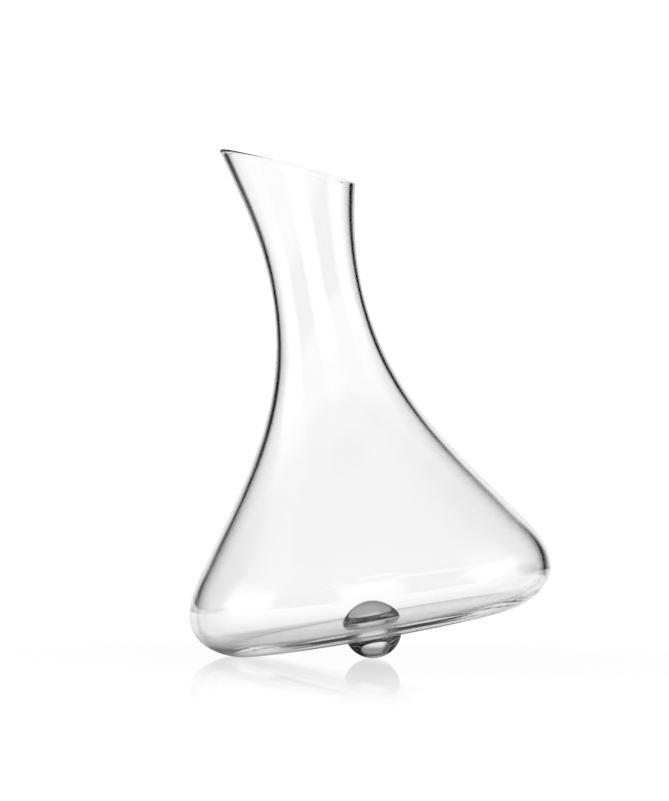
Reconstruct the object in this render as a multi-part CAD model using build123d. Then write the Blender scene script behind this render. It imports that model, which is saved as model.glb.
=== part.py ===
from build123d import *
import os
from math import atan2, cos, degrees, radians, sin

# Wine decanter that leans on a solid glass ball. Millimetres and degrees.
# World frame: +Z up, the decanter leans towards -X, and the origin is the point where the
# ball touches the table.
# Vessel frame: Z is the vessel's own axis of revolution, and heights count from just under the base.

# How it stands
lean = 11.0  # the vessel's axis leans this far from upright
ball_radius = 15.0
ball_offset = 2.1  # the ball is fused this far off the axis, on the low side

# Outer skin of the base: a shallow dome that turns up into the belly
base_middle = 0.8  # height of the dome's middle
base_edge = 2.0  # height of the dome's edge
base_radius = 70.3  # where the dome ends and the corner begins
belly_radius = 93.8
belly_height = 23.3
outer_handles = (5.9, 14.5)  # how far the corner keeps the dome's direction, and runs straight up

# Inner skin of the base
floor_wall_middle = 3.5
floor_wall_edge = 3.9
inner_base_radius = 68.9
belly_wall = 3.5
belly_drop = 0.1  # the inner skin is widest this much lower than the outer one
inner_handles = (8.9, 11.9)

# Side of the vessel: height, outer radius, and wall thickness measured level
side_stations = (
    (48.0, 83.1, 3.8),
    (90.0, 53.2, 3.5),
    (132.0, 31.7, 2.7),
    (176.0, 23.2, 1.9),
    (217.0, 26.3, 2.5),
    (266.0, 38.4, 3.0),
)
lip_flare = 13.3  # angle of the wall at the last station, from the axis

# Slanted mouth: a plane that is high on the low side, and melted smooth at its edges
mouth_height = 243.6  # where the plane crosses the axis
mouth_slant = 24.4
rim_round = 1.0

corner_samples = 2000  # points tried when looking for the corner's lowest one


def polar(length, angle):
    """A vector of this length in the outline's plane, at this angle up from level."""
    return Vector(length * cos(radians(angle)), length * sin(radians(angle)))


def corner_curve(floor_middle, floor_end, belly_point, handles):
    """The turn from the floor up to the belly. It carries on in the direction of the floor's arc."""
    direction = degrees(2 * atan2(floor_end.Y - floor_middle.Y, floor_end.X))
    return Bezier(
        floor_end,
        floor_end + polar(handles[0], direction),
        belly_point - Vector(0, handles[1]),
        belly_point,
    )


def turned(floor_middle, floor_end, belly_point, handles, side_points):
    """The solid inside one skin of the vessel. The outline has X as radius and Y as height."""
    floor = TangentArc(floor_middle, floor_end, tangent=(1, 0))
    corner = corner_curve(floor_middle, floor_end, belly_point, handles)
    ends = (Vector(0, 1), polar(1, 90 - lip_flare))
    side = Spline(belly_point, *side_points, tangents=ends, tangent_scalars=(1, 1))
    top = side_points[-1]
    lid = Line(top, (0, top.Y))
    axis = Line((0, top.Y), floor_middle)
    face = make_face([floor, corner, side, lid, axis])
    return revolve(Plane.XZ * face, Axis.Z, 360)


def outer_base():
    """Floor middle, floor end, belly point and corner handles of the outer skin."""
    floor_end = Vector(base_radius, base_edge)
    return Vector(0, base_middle), floor_end, Vector(belly_radius, belly_height), outer_handles


def inner_base():
    """The same of the inner skin."""
    floor_middle = Vector(0, base_middle + floor_wall_middle)
    floor_end = Vector(inner_base_radius, base_edge + floor_wall_edge)
    belly_point = Vector(belly_radius - belly_wall, belly_height - belly_drop)
    return floor_middle, floor_end, belly_point, inner_handles


def outer_solid():
    side_points = [Vector(radius, height) for height, radius, wall in side_stations]
    return turned(*outer_base(), side_points)


def inner_solid():
    side_points = [Vector(radius - wall, height) for height, radius, wall in side_stations]
    return turned(*inner_base(), side_points)


def mouth_cutter():
    """A block whose lower face is the mouth's plane."""
    size = 4 * belly_radius
    block = Box(size, size, size, align=(Align.CENTER, Align.CENTER, Align.MIN))
    return Location((0, 0, mouth_height), (0, mouth_slant, 0)) * block


def rounded_rim(vessel):
    """The same vessel with both edges of its mouth rounded."""
    top_edges = vessel.edges().group_by(Axis.Z)[-2:]
    rim_edges = [edge for group in top_edges for edge in group]
    return fillet(rim_edges, rim_round)


def blown_vessel():
    """The hollow vessel in its own frame, before the ball goes in."""
    return rounded_rim(outer_solid() - inner_solid() - mouth_cutter())


def brim_litres():
    """What the vessel holds up to its mouth, standing straight and without the ball's share."""
    return (inner_solid() - mouth_cutter()).volume / 1e6


def axis_foot():
    """Where the vessel frame's origin stands, so that its low side and the ball touch the table."""
    sine = sin(radians(lean))
    cosine = cos(radians(lean))
    corner = corner_curve(*outer_base())
    samples = [corner @ (step / corner_samples) for step in range(corner_samples + 1)]
    lift = -min(point.Y * cosine - point.X * sine for point in samples)
    # the ball's centre is one radius above the table, on a line beside the vessel's axis
    ball_along = (ball_radius - lift + ball_offset * sine) / cosine
    return Vector(ball_along * sine + ball_offset * cosine, 0, lift)


def export(part, name, colour):
    part.label = name
    part.color = colour
    export_step(part, f"parts/{name}.step")


os.makedirs("parts", exist_ok=True)
ball = Pos(0, 0, ball_radius) * Sphere(ball_radius)
vessel = Pos(axis_foot()) * Rot(0, -lean, 0) * blown_vessel() - ball
export(vessel, "glass_vessel", Color(0.86, 0.92, 0.94, 0.35))
export(ball, "base_ball", Color(0.78, 0.88, 0.92, 0.6))
print("axis foot", axis_foot(), "capacity to the brim in litres", brim_litres())
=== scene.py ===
from math import asin, atan2, cos, pi, radians, sin

import bmesh
import bpy
import numpy as np
from mathutils import Matrix, Vector


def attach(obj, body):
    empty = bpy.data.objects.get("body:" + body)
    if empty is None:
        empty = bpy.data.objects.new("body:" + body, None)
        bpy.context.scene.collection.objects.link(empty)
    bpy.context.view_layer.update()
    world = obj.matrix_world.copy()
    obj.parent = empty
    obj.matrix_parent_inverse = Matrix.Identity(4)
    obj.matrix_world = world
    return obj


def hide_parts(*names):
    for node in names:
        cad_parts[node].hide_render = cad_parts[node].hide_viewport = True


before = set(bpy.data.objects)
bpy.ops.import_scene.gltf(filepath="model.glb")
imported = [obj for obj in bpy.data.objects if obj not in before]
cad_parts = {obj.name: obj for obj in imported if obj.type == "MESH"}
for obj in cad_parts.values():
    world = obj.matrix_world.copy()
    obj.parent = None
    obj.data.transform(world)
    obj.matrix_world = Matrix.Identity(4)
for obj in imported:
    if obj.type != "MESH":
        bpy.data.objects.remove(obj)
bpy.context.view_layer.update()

# Lengths are millimetres and angles are degrees, unless a comment says otherwise.
# Meshes are made in metres.
MM = 0.001

# ---------------------------------------------------------------------------------------------
# The decanter's driving dimensions, as the part has them
# ---------------------------------------------------------------------------------------------
LEAN = 11.0
BALL_RADIUS = 15.0
BALL_OFFSET = 2.1  # towards the low side, which is -X

BASE_RADIUS = 70.3
BASE_MIDDLE = 0.8
BASE_EDGE = 2.0
BELLY_RADIUS = 93.8
BELLY_HEIGHT = 23.3
# how far the corner keeps the floor's direction, and how far it runs straight up into the belly
OUTER_HANDLES = (5.9, 14.5)

FLOOR_WALL_MIDDLE = 3.5
FLOOR_WALL_EDGE = 3.9
INNER_BASE_RADIUS = 68.9
BELLY_WALL = 3.5
BELLY_DROP = 0.1
INNER_HANDLES = (8.9, 11.9)

# height, outer radius, and wall thickness measured level
SIDE_STATIONS = (
    (48.0, 83.1, 3.8),
    (90.0, 53.2, 3.5),
    (132.0, 31.7, 2.7),
    (176.0, 23.2, 1.9),
    (217.0, 26.3, 2.5),
    (266.0, 38.4, 3.0),
)
LIP_FLARE = 13.3

MOUTH_HEIGHT = 243.6
MOUTH_SLANT = 24.4
RIM_ROUND = 1.0
SLOPE_STEP = 1.0  # the side's slope at its cut is taken over this height

# Mesh density
TURN_STEPS = 320  # quads round the axis
FLOOR_ROWS = 40
CORNER_ROWS = 46
SIDE_ROWS = 150
ROUND_ROWS = 6
FLAT_ROWS = 3
CAP_ROWS = 48
SEAT_ROWS = 12
PROFILE_SAMPLES = 4000
HALVINGS = 50  # steps of the search for the line where the ball meets a skin
SLANTED_FROM = 150.0  # above this height the mesh rows tilt step by step into the mouth's plane
SLANT_EASE = 1.5  # more than 1 starts the tilt gently
LEVEL_FLOOR = 38.0  # mesh rows of the floor are level circles from this radius outwards

# Glass. Waves and cords are lumps of this width and depth. A cord is stretched along the vessel's axis.
GLASS_IOR = 1.5
EDGE_DIMS = (0.65, 1.0)  # painted shade, from where to where the glass's colour darkens: 0 is seen face on, 1 is seen edge on
# light left by the painted edge shade where the glass is seen fully edge on
EDGE_LIGHT = 0.1
WAVE_SIZE = 25.0
WAVE_DEPTH = 0.04
CORD_SIZE = 5.0
CORD_STRETCH = 14
CORD_SHARE = 0.02  # of the waves' depth
BASE_ROUGHNESS = 0.035
BASE_ROUGHNESS_ENDS = (6.0, 20.0)  # it fades out between these heights along the vessel's axis
BALL_WAVE_SIZE = 12.0
BALL_WAVE_DEPTH = 0.01
# the seam's streaks are this thick, and run level with the base
SEAM_IOR = 1.2
SEAM_STREAK = 1.4
SEAM_STRETCH = 12
SEAM_DEPTH = 0.04

# Studio. Light is 1 where the picture just turns white. Distances on the table are metres from here on.
WHITE = 1.05
TABLE_SIZE = 40.0
TABLE_GAP = 0.00005  # the table lies this far below the glass
TABLE_CORNER_STARTS = (0.6, 1.2)  # painted shade: its far corners turn dark over this distance, like the tent's
# The decanter's shade, painted into the table's glow for all but camera rays: dark where it touches
# down and soft under the whole base. Each is a place along X, the light left there, and where the full
# shade ends and all shade ends.
LOW_SIDE_SHADE = (-0.0688, 0.3, (0.005, 0.03))
BALL_SHADE = (0.0, 0.0, (0.008, 0.034))
BASE_SHADE = (0.0, 0.38, (0.065, 0.15))
MIRROR_SHARE = 0.44
MIRROR_REACH = (0.06, 0.5)
MIRROR_ROUGHNESS = 0.01
WALL_TOP_LIGHT = 0.3
WALL_DIMS = (0.3, 0.5)  # sine of the height angle
CEILING_STARTS = (0.68, 0.74)  # sine of the height angle
CORNER_STARTS = (0.25, 0.5)  # tangent of the side angle from a wall's middle
CAMERA_PLACE = (-0.0215, -2.410, 0.1318)  # metres
CAMERA_ROLL = 0.93
CAMERA_LENS = 211.2
CAMERA_SENSOR = 36.0
LIGHT_BOUNCES = 32  # light goes to and fro many times inside the base


# ---------------------------------------------------------------------------------------------
# Profile of one skin of the vessel: columns are radius and height
# ---------------------------------------------------------------------------------------------
def floor_arc(middle, end, count):
    """Shallow arc that is level where it crosses the axis."""
    rise = end[1] - middle[1]
    arc_radius = (end[0] ** 2 + rise**2) / (2 * rise)
    angles = np.linspace(0, asin(end[0] / arc_radius), count)
    return np.c_[arc_radius * np.sin(angles), middle[1] + arc_radius * (1 - np.cos(angles))]


def corner_curve(middle, end, belly, handles, count):
    """Bezier from the floor up to the belly, which it meets straight up."""
    direction = 2 * atan2(end[1] - middle[1], end[0])
    first = end + handles[0] * np.array([cos(direction), sin(direction)])
    second = belly - np.array([0, handles[1]])
    t = np.linspace(0, 1, count)[:, None]
    return (
        (1 - t) ** 3 * end
        + 3 * t * (1 - t) ** 2 * first
        + 3 * t**2 * (1 - t) * second
        + t**3 * belly
    )


def side_curve(points, count):
    """Smooth curve through the points, straight up at the belly and flared at the lip."""
    runs = np.diff(points, axis=0)
    steps = np.hypot(runs[:, 0], runs[:, 1])
    slopes = runs / steps[:, None]
    size = len(points)
    matrix = np.eye(size)
    wanted = np.zeros((size, 2))
    wanted[0] = (0, 1)
    wanted[-1] = (sin(radians(LIP_FLARE)), cos(radians(LIP_FLARE)))
    for i in range(1, size - 1):
        before, after = steps[i - 1], steps[i]
        matrix[i, i - 1 : i + 2] = after, 2 * (before + after), before
        wanted[i] = 3 * (after * slopes[i - 1] + before * slopes[i])
    tangents = np.linalg.solve(matrix, wanted)
    knots = np.r_[0, np.cumsum(steps)]
    s = np.linspace(0, knots[-1], count)
    span = np.clip(np.searchsorted(knots, s, side="right") - 1, 0, size - 2)
    h = steps[span][:, None]
    t = (s - knots[span])[:, None] / h
    return (
        (1 + 2 * t) * (1 - t) ** 2 * points[span]
        + t * (1 - t) ** 2 * h * tangents[span]
        + t**2 * (3 - 2 * t) * points[span + 1]
        - t**2 * (1 - t) * h * tangents[span + 1]
    )


def resampled(curve, count):
    """The same curve with evenly spaced points."""
    length = np.r_[0, np.cumsum(np.hypot(*np.diff(curve, axis=0).T))]
    s = np.linspace(0, length[-1], count)
    return np.c_[np.interp(s, length, curve[:, 0]), np.interp(s, length, curve[:, 1])]


class Skin:
    """One skin of the vessel: floor, corner and side, each a curve of radius and height."""

    def __init__(self, middle, floor_end, belly, handles, walls):
        middle, floor_end, belly = (np.array(p, float) for p in (middle, floor_end, belly))
        stations = zip(SIDE_STATIONS, walls)
        side_points = [(radius - wall, height) for (height, radius, _), wall in stations]
        self.floor = floor_arc(middle, floor_end, PROFILE_SAMPLES)
        corner = corner_curve(middle, floor_end, belly, handles, PROFILE_SAMPLES)
        self.corner = resampled(corner, PROFILE_SAMPLES)
        side = side_curve(np.vstack([belly, side_points]), PROFILE_SAMPLES)
        self.side = resampled(side, PROFILE_SAMPLES)

    def floor_height(self, radius):
        return np.interp(radius, self.floor[:, 0], self.floor[:, 1])

    def side_at(self, height):
        """Radius of the side at this height."""
        return np.interp(height, self.side[:, 1], self.side[:, 0])

    def side_slope(self, height):
        """How much the side's radius grows for each millimetre of height."""
        half_step = SLOPE_STEP / 2
        return (self.side_at(height + half_step) - self.side_at(height - half_step)) / SLOPE_STEP

    def mouth_cut(self, turn):
        """Height at which the mouth's plane cuts this skin, at this angle round the axis."""
        radii, heights = self.side.T
        above = heights - (MOUTH_HEIGHT - radii * cos(turn) * np.tan(radians(MOUTH_SLANT)))
        return float(np.interp(0, above, heights))


outer = Skin(
    (0, BASE_MIDDLE),
    (BASE_RADIUS, BASE_EDGE),
    (BELLY_RADIUS, BELLY_HEIGHT),
    OUTER_HANDLES,
    [0] * len(SIDE_STATIONS),
)
inner = Skin(
    (0, BASE_MIDDLE + FLOOR_WALL_MIDDLE),
    (INNER_BASE_RADIUS, BASE_EDGE + FLOOR_WALL_EDGE),
    (BELLY_RADIUS - BELLY_WALL, BELLY_HEIGHT - BELLY_DROP),
    INNER_HANDLES,
    [wall for _, _, wall in SIDE_STATIONS],
)


# ---------------------------------------------------------------------------------------------
# How the vessel stands: on the ball and on the low side of its base
# ---------------------------------------------------------------------------------------------
tilt = radians(LEAN)
lift = -min(outer.corner[:, 1] * cos(tilt) - outer.corner[:, 0] * sin(tilt))
ball_along = (BALL_RADIUS - lift + BALL_OFFSET * sin(tilt)) / cos(tilt)
axis_foot = Vector((ball_along * sin(tilt) + BALL_OFFSET * cos(tilt), 0, lift)) * MM
stand = Matrix.Translation(axis_foot) @ Matrix.Rotation(-tilt, 4, "Y")
# the ball's centre in the vessel's own frame
ball_centre = np.array([-BALL_OFFSET, 0, ball_along])


# ---------------------------------------------------------------------------------------------
# Mesh helpers
# ---------------------------------------------------------------------------------------------
turns = np.linspace(0, 2 * pi, TURN_STEPS, endpoint=False)


def grid_faces(rings):
    """Quads between neighbouring rings of point numbers, or triangles at a pole's ring of one."""
    faces = []
    for a, b in zip(rings, rings[1:]):
        for i in range(TURN_STEPS):
            j = (i + 1) % TURN_STEPS
            corners = [a[i % len(a)], a[j % len(a)], b[j % len(b)], b[i % len(b)]]
            faces.append(list(dict.fromkeys(corners)))  # a pole's repeats drop out
    return faces


def shell_mesh(name, sections, materials):
    """A closed smooth mesh from sections of rings, and its crisp lines.

    Each section is (rings, material index), and a ring is an array of points in millimetres.
    Neighbouring sections share a ring, which stays a crisp line.
    """
    points, faces, indices, crisp = [], [], [], []
    known = {}
    for rings, index in sections:
        numbered = []
        for ring in rings:
            key = ring.tobytes()
            if key not in known:
                known[key] = list(range(len(points), len(points) + len(ring)))
                points.extend(ring)
            numbered.append(known[key])
        made = grid_faces(numbered)
        faces.extend(made)
        indices.extend([index] * len(made))
        crisp += [numbered[0], numbered[-1]]
    mesh = bpy.data.meshes.new(name)
    mesh.from_pydata([Vector(p) * MM for p in points], [], faces)
    mesh.polygons.foreach_set("material_index", indices)
    mesh.polygons.foreach_set("use_smooth", [True] * len(faces))
    for material in materials:
        mesh.materials.append(material)
    return mesh, crisp


def place(mesh, name, node, crisp):
    """Stands the mesh where the part has it, and lets it replace its node."""
    work = bmesh.new()
    work.from_mesh(mesh)
    work.verts.ensure_lookup_table()
    bmesh.ops.recalc_face_normals(work, faces=work.faces)
    for ring in crisp:
        if len(ring) > 1:
            for a, b in zip(ring, ring[1:] + ring[:1]):
                work.edges.get((work.verts[a], work.verts[b])).smooth = False
    bmesh.ops.transform(work, matrix=stand, verts=work.verts)
    work.to_mesh(mesh)
    work.free()
    piece = bpy.data.objects.new(name, mesh)
    bpy.context.scene.collection.objects.link(piece)
    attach(piece, "root")
    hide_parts(node)


def level_ring(radius, height):
    """A circle about the vessel's axis. Radius and height may vary round it."""
    return np.c_[radius * np.cos(turns), radius * np.sin(turns), height * np.ones(TURN_STEPS)]


# ---------------------------------------------------------------------------------------------
# Where the ball passes through the floor
# ---------------------------------------------------------------------------------------------
def weld_ring(skin):
    """Line where the ball's surface meets this skin, one point for each angle round the ball."""
    low = np.zeros(TURN_STEPS)
    high = np.full(TURN_STEPS, BALL_RADIUS)
    for _ in range(HALVINGS):
        reach = (low + high) / 2
        x = ball_centre[0] + reach * np.cos(turns)
        y = reach * np.sin(turns)
        z = skin.floor_height(np.hypot(x, y))
        inside = reach**2 + (z - ball_centre[2]) ** 2 < BALL_RADIUS**2
        low = np.where(inside, reach, low)
        high = np.where(inside, high, reach)
    return np.c_[x, y, z]


def floor_rings(skin, start_ring):
    """Rings of a floor from the weld out to a level circle, and on to the floor's edge."""
    level = level_ring(LEVEL_FLOOR, 0)
    rings = [start_ring]
    inner_rows = FLOOR_ROWS // 2
    for t in np.linspace(0, 1, inner_rows + 1)[1:]:
        flat = start_ring * (1 - t) + level * t
        flat[:, 2] = skin.floor_height(np.hypot(flat[:, 0], flat[:, 1]))
        rings.append(flat)
    edge = skin.floor[-1, 0]
    for radius in np.linspace(LEVEL_FLOOR, edge, FLOOR_ROWS - inner_rows + 1)[1:]:
        rings.append(level_ring(radius, skin.floor_height(radius)))
    return rings


def arc_rings(start, end, rows):
    """Rings on the ball between two of its rings, at even steps along its surface."""
    first, last = start - ball_centre, end - ball_centre
    angle = np.arccos(np.clip((first * last).sum(1) / BALL_RADIUS**2, -1, 1))[:, None]
    rings = []
    for t in np.linspace(0, 1, rows + 1):
        spoke = (np.sin((1 - t) * angle) * first + np.sin(t * angle) * last) / np.sin(angle)
        rings.append(ball_centre + spoke)
    rings[0], rings[-1] = start, end
    return rings


def cap_rings(ring, side):
    """Rings from one of the ball's rings to its top pole, side 1, or to its bottom pole, side -1."""
    pole = ball_centre + np.array([0, 0, side * BALL_RADIUS])
    rings = arc_rings(ring, np.repeat(pole[None], TURN_STEPS, 0), CAP_ROWS)[:-1]
    return rings + [pole[None]]


# ---------------------------------------------------------------------------------------------
# Side and rim
# ---------------------------------------------------------------------------------------------
def side_rings(skin, top_heights):
    """Rings up the side, level low down and slanted like the mouth at the top."""
    rings = []
    for level in np.linspace(skin.side[0, 1], MOUTH_HEIGHT, SIDE_ROWS + 1):
        share = max(0.0, (level - SLANTED_FROM) / (MOUTH_HEIGHT - SLANTED_FROM))
        heights = level + (top_heights - MOUTH_HEIGHT) * share**SLANT_EASE
        rings.append(level_ring(skin.side_at(heights), heights))
    return rings


def cut_ring(skin):
    """Line where the mouth's plane cuts this skin, before the rim is rounded."""
    heights = np.array([skin.mouth_cut(turn) for turn in turns])
    return level_ring(skin.side_at(heights), heights)


def half_angle(skin, corner_ring, other_ring):
    """Half the angle between the skin and the rim's flat at each point of this skin's cut."""
    slope = skin.side_slope(corner_ring[:, 2])
    down = -np.c_[slope * np.cos(turns), slope * np.sin(turns), np.ones(TURN_STEPS)]
    flat = other_ring - corner_ring
    lengths = np.linalg.norm(down, axis=1) * np.linalg.norm(flat, axis=1)
    return np.arccos((down * flat).sum(1) / lengths) / 2


def round_reach(half):
    """How far the rim's rounding reaches from a corner with this half angle."""
    return RIM_ROUND / np.tan(half)


def round_starts(skin, corner_ring, half):
    """Heights on the skin where the rim's rounding starts."""
    heights = corner_ring[:, 2]
    return heights - round_reach(half) / np.sqrt(1 + skin.side_slope(heights) ** 2)


def rounded(start, corner, end, half):
    """Rings of the round arc that leaves start towards the corner and reaches end."""
    weight = np.sin(half)[:, None]
    rings = []
    for t in np.linspace(0, 1, ROUND_ROWS + 1):
        middle_share = 2 * t * (1 - t) * weight
        total = (1 - t) ** 2 * start + middle_share * corner + t**2 * end
        rings.append(total / ((1 - t) ** 2 + middle_share + t**2))
    return rings


def rim_rings(outer_top, inner_top, outer_corner, inner_corner, outer_half, inner_half):
    """The melted rim: rounds over the outer edge, crosses the flat, rounds down the inner one."""
    across = inner_corner - outer_corner
    across /= np.linalg.norm(across, axis=1)[:, None]
    flat_start = outer_corner + across * round_reach(outer_half)[:, None]
    flat_end = inner_corner - across * round_reach(inner_half)[:, None]
    rings = rounded(outer_top, outer_corner, flat_start, outer_half)
    for t in np.linspace(0, 1, FLAT_ROWS + 1)[1:-1]:
        rings.append(flat_start * (1 - t) + flat_end * t)
    return rings + rounded(flat_end, inner_corner, inner_top, inner_half)


# ---------------------------------------------------------------------------------------------
# Materials
# ---------------------------------------------------------------------------------------------
class Graph:
    """Short way to wire up a node tree. Values are numbers, tuples or sockets of other nodes."""

    def __init__(self, tree):
        self.tree = tree

    def node(self, kind, inputs=None, **settings):
        made = self.tree.nodes.new(kind)
        for setting, value in settings.items():
            setattr(made, setting, value)
        for key, value in (inputs or {}).items():
            self.feed(made.inputs[key], value)
        return made

    def feed(self, socket, value):
        if isinstance(value, bpy.types.NodeSocket):
            self.tree.links.new(value, socket)
        else:
            socket.default_value = value

    def math(self, operation, *values):
        return self.node("ShaderNodeMath", dict(enumerate(values)), operation=operation).outputs[0]

    def ramp(self, value, start, end, first, last):
        """Goes smoothly from the first number to the last while the value goes from start to end."""
        inputs = {"Value": value, "From Min": start, "From Max": end}
        inputs |= {"To Min": first, "To Max": last}
        made = self.node("ShaderNodeMapRange", inputs, interpolation_type="SMOOTHSTEP")
        return made.outputs["Result"]

    def mixed(self, share, first, last):
        """First where the share is 0, last where it is 1."""
        inputs = {"Factor": share, "A": first, "B": last}
        return self.node("ShaderNodeMix", inputs, data_type="FLOAT").outputs[0]

    def distance(self, place_socket, point):
        inputs = {0: place_socket, 1: point}
        made = self.node("ShaderNodeVectorMath", inputs, operation="DISTANCE")
        return made.outputs["Value"]

    def own_place(self):
        """Place in the vessel's own frame, in metres, with Z along its axis."""
        back = stand.inverted()
        inputs = {
            "Vector": self.node("ShaderNodeTexCoord").outputs["Object"],
            "Location": back.to_translation(),
            "Rotation": back.to_euler(),
        }
        return self.node("ShaderNodeMapping", inputs).outputs[0]

    def noise(self, place_socket, stretch, size, detail):
        """Soft noise with lumps about this size, times the stretch along each axis."""
        inputs = {0: place_socket, 1: [1 / (size * MM * factor) for factor in stretch]}
        scaled = self.node("ShaderNodeVectorMath", inputs, operation="MULTIPLY")
        inputs = {"Vector": scaled.outputs[0], "Scale": 1.0, "Detail": detail}
        return self.node("ShaderNodeTexNoise", inputs).outputs["Fac"]


def clear_glass(name, ior):
    """A clear material, its graph and its shader."""
    material = bpy.data.materials.new(name)
    material.use_nodes = True
    shader = material.node_tree.nodes["Principled BSDF"]
    shader.inputs["Base Color"].default_value = (1, 1, 1, 1)
    shader.inputs["Roughness"].default_value = 0.0
    shader.inputs["IOR"].default_value = ior
    shader.inputs["Transmission Weight"].default_value = 1.0
    return material, Graph(material.node_tree), shader


def painted_edge_shade(graph, shader):
    """Paints shade into the glass's colour where it is seen edge on, which draws its dark outlines; it
    stands in partly for the longer way through real glass.
    """
    facing = graph.node("ShaderNodeLayerWeight", {"Blend": 0.5}).outputs["Facing"]
    edge_shade = graph.ramp(facing, *EDGE_DIMS, 1.0, EDGE_LIGHT)
    colour = graph.node("ShaderNodeCombineColor", {"Red": edge_shade, "Green": edge_shade, "Blue": edge_shade})
    graph.feed(shader.inputs["Base Color"], colour.outputs[0])


def bumped(graph, shader, height, depth):
    """Gives the surface bumps of this depth in millimetres."""
    inputs = {"Strength": 1.0, "Distance": depth * MM, "Height": height}
    graph.feed(shader.inputs["Normal"], graph.node("ShaderNodeBump", inputs).outputs[0])


def blown_material(name):
    """Clear glass with the slow waves and faint upright cords of hand blowing, blurred in the base, and
    with painted shade where it is seen edge on.
    """
    material, graph, shader = clear_glass(name, GLASS_IOR)
    own = graph.own_place()
    waves = graph.noise(own, (1, 1, 1), WAVE_SIZE, 1.0)
    cords = graph.noise(own, (1, 1, CORD_STRETCH), CORD_SIZE, 0.0)
    faint_cords = graph.math("MULTIPLY", cords, CORD_SHARE)
    bumped(graph, shader, graph.math("ADD", waves, faint_cords), WAVE_DEPTH)
    along = graph.node("ShaderNodeSeparateXYZ", {0: own}).outputs["Z"]
    ends = [height * MM for height in BASE_ROUGHNESS_ENDS]
    graph.feed(shader.inputs["Roughness"], graph.ramp(along, *ends, BASE_ROUGHNESS, 0.0))
    painted_edge_shade(graph, shader)
    return material


def ball_material(name):
    """Clear solid glass with a trace of unevenness."""
    material, graph, shader = clear_glass(name, GLASS_IOR)
    waves = graph.noise(graph.own_place(), (1, 1, 1), BALL_WAVE_SIZE, 1.0)
    bumped(graph, shader, waves, BALL_WAVE_DEPTH)
    return material


def seam_material(name):
    """The melted seam on the ball's side: streaked level with the base, bending light a little."""
    material, graph, shader = clear_glass(name, SEAM_IOR)
    stretch = (SEAM_STRETCH, SEAM_STRETCH, 1)
    streaks = graph.noise(graph.own_place(), stretch, SEAM_STREAK, 2.0)
    bumped(graph, shader, streaks, SEAM_DEPTH)
    return material


def hidden_material(name):
    """The vessel's side of the seam: light passes straight on, so the seam counts only once."""
    material, _, shader = clear_glass(name, GLASS_IOR)
    shader.inputs["Alpha"].default_value = 0.0
    return material


vessel_glass = blown_material("vessel_glass")
ball_glass = ball_material("ball_glass")
ball_seam = seam_material("ball_seam")
vessel_seam = hidden_material("vessel_seam")


# ---------------------------------------------------------------------------------------------
# The two pieces of glass
# ---------------------------------------------------------------------------------------------
outer_weld = weld_ring(outer)
inner_weld = weld_ring(inner)


def skin_rings(skin, weld, side):
    """All rings of one skin, from the ball up to where the rim's rounding starts."""
    corner = [level_ring(r, z) for r, z in resampled(skin.corner, CORNER_ROWS + 1)]
    return floor_rings(skin, weld)[:-1] + corner[:-1] + side


def build_vessel():
    outer_cut = cut_ring(outer)
    inner_cut = cut_ring(inner)
    outer_half = half_angle(outer, outer_cut, inner_cut)
    inner_half = half_angle(inner, inner_cut, outer_cut)
    outer_side = side_rings(outer, round_starts(outer, outer_cut, outer_half))
    inner_side = side_rings(inner, round_starts(inner, inner_cut, inner_half))
    up = skin_rings(outer, outer_weld, outer_side)
    down = skin_rings(inner, inner_weld, inner_side)[::-1]
    rim = rim_rings(up[-1], down[0], outer_cut, inner_cut, outer_half, inner_half)
    seat = arc_rings(inner_weld, outer_weld, SEAT_ROWS)
    sections = [(up[:-1] + rim + down[1:], 0), (seat, 1)]
    mesh, crisp = shell_mesh("glass_vessel_mesh", sections, [vessel_glass, vessel_seam])
    place(mesh, "blown_vessel", "glass_vessel", crisp)


def build_ball():
    lower = cap_rings(outer_weld, -1)[::-1]
    seat = arc_rings(outer_weld, inner_weld, SEAT_ROWS)
    upper = cap_rings(inner_weld, 1)
    sections = [(lower, 0), (seat, 1), (upper, 0)]
    mesh, crisp = shell_mesh("base_ball_mesh", sections, [ball_glass, ball_seam])
    place(mesh, "fused_ball", "base_ball", crisp)


build_vessel()
build_ball()


# ---------------------------------------------------------------------------------------------
# Stage: a polished white table in a tent with four bright walls, dark corners and a dark ceiling,
# and the camera
# ---------------------------------------------------------------------------------------------
def is_camera_ray(graph):
    return graph.node("ShaderNodeLightPath").outputs["Is Camera Ray"]


def to_corner(graph, vector):
    """How far a place or a direction is into a corner of the tent: 0 before a wall, 1 inside."""
    parts = graph.node("ShaderNodeSeparateXYZ", {0: vector})
    x = graph.math("ABSOLUTE", parts.outputs["X"])
    y = graph.math("ABSOLUTE", parts.outputs["Y"])
    slope = graph.math("DIVIDE", graph.math("MINIMUM", x, y), graph.math("MAXIMUM", x, y))
    return graph.ramp(slope, *CORNER_STARTS, 0.0, 1.0)


def table_light(graph, place_socket, from_ball):
    """Light that the table gives: white, less the decanter's painted shade, and none in its far
    corners, which is painted shade too.
    """
    light = 1.0
    for x, light_left, reach in (BALL_SHADE, LOW_SIDE_SHADE, BASE_SHADE):
        away = graph.distance(place_socket, (x, 0, 0))
        light = graph.math("MULTIPLY", light, graph.ramp(away, *reach, light_left, 1.0))
    far_off = graph.ramp(from_ball, *TABLE_CORNER_STARTS, 0.0, 1.0)
    in_corner = graph.math("MULTIPLY", to_corner(graph, place_socket), far_off)
    return graph.mixed(in_corner, light, 0.0)


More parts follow.
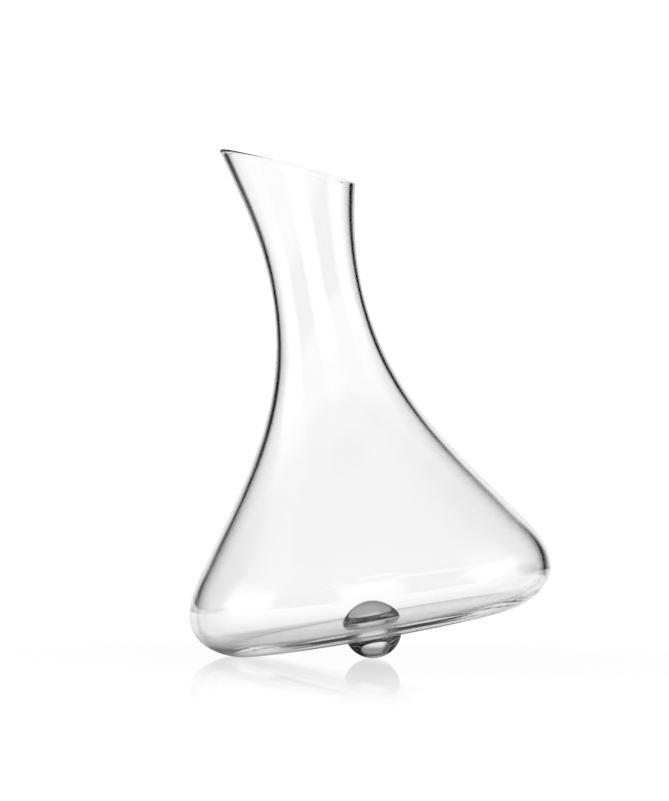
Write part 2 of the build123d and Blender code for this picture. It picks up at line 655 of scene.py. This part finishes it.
def table_material():
    """White as the camera sees it, with a polish near the decanter and the painted shade for all other
    rays.
    """
    material = bpy.data.materials.new("white_table")
    material.use_nodes = True
    material.node_tree.nodes.clear()
    graph = Graph(material.node_tree)
    place_socket = graph.node("ShaderNodeTexCoord").outputs["Object"]
    from_ball = graph.distance(place_socket, (0, 0, 0))
    light = graph.mixed(is_camera_ray(graph), table_light(graph, place_socket, from_ball), 1.0)
    white = graph.node("ShaderNodeEmission", {"Strength": graph.math("MULTIPLY", light, WHITE)})
    mirror = graph.node("ShaderNodeBsdfGlossy", {"Roughness": MIRROR_ROUGHNESS})
    fresnel = graph.node("ShaderNodeFresnel", {"IOR": GLASS_IOR}).outputs[0]
    polish = graph.ramp(from_ball, *MIRROR_REACH, MIRROR_SHARE, 0.0)
    inputs = {0: graph.math("MULTIPLY", fresnel, polish), 1: white.outputs[0], 2: mirror.outputs[0]}
    surface = graph.node("ShaderNodeMixShader", inputs).outputs[0]
    graph.node("ShaderNodeOutputMaterial", {"Surface": surface})
    return material


def build_table():
    mesh = bpy.data.meshes.new("table_top")
    work = bmesh.new()
    bmesh.ops.create_grid(work, x_segments=1, y_segments=1, size=TABLE_SIZE / 2)
    work.to_mesh(mesh)
    work.free()
    mesh.materials.append(table_material())
    table = bpy.data.objects.new("table_top", mesh)
    table.location.z = -TABLE_GAP
    bpy.context.scene.collection.objects.link(table)


def build_world():
    world = bpy.data.worlds.new("light_tent")
    bpy.context.scene.world = world
    world.use_nodes = True
    graph = Graph(world.node_tree)
    direction = graph.node("ShaderNodeTexCoord").outputs["Generated"]
    up = graph.node("ShaderNodeSeparateXYZ", {0: direction}).outputs["Z"]
    wall = graph.ramp(up, *WALL_DIMS, WHITE, WALL_TOP_LIGHT)
    around = graph.mixed(to_corner(graph, direction), wall, 0.0)
    light = graph.mixed(graph.ramp(up, *CEILING_STARTS, 0.0, 1.0), around, 0.0)
    seen = graph.mixed(is_camera_ray(graph), light, WHITE)
    background = world.node_tree.nodes["Background"]
    background.inputs["Color"].default_value = (1, 1, 1, 1)
    graph.feed(background.inputs["Strength"], seen)


def build_camera():
    camera_data = bpy.data.cameras.new("camera")
    camera_data.lens = CAMERA_LENS
    camera_data.sensor_width = CAMERA_SENSOR
    camera = bpy.data.objects.new("camera", camera_data)
    camera.matrix_world = (
        Matrix.Translation(CAMERA_PLACE)
        @ Matrix.Rotation(radians(90), 4, "X")
        @ Matrix.Rotation(radians(CAMERA_ROLL), 4, "Z")
    )
    bpy.context.scene.collection.objects.link(camera)
    bpy.context.scene.camera = camera


build_table()
build_world()
build_camera()
scene = bpy.context.scene
scene.view_settings.view_transform = "Standard"
scene.cycles.max_bounces = LIGHT_BOUNCES
scene.cycles.transmission_bounces = LIGHT_BOUNCES
scene.cycles.glossy_bounces = LIGHT_BOUNCES
scene.cycles.transparent_max_bounces = LIGHT_BOUNCES
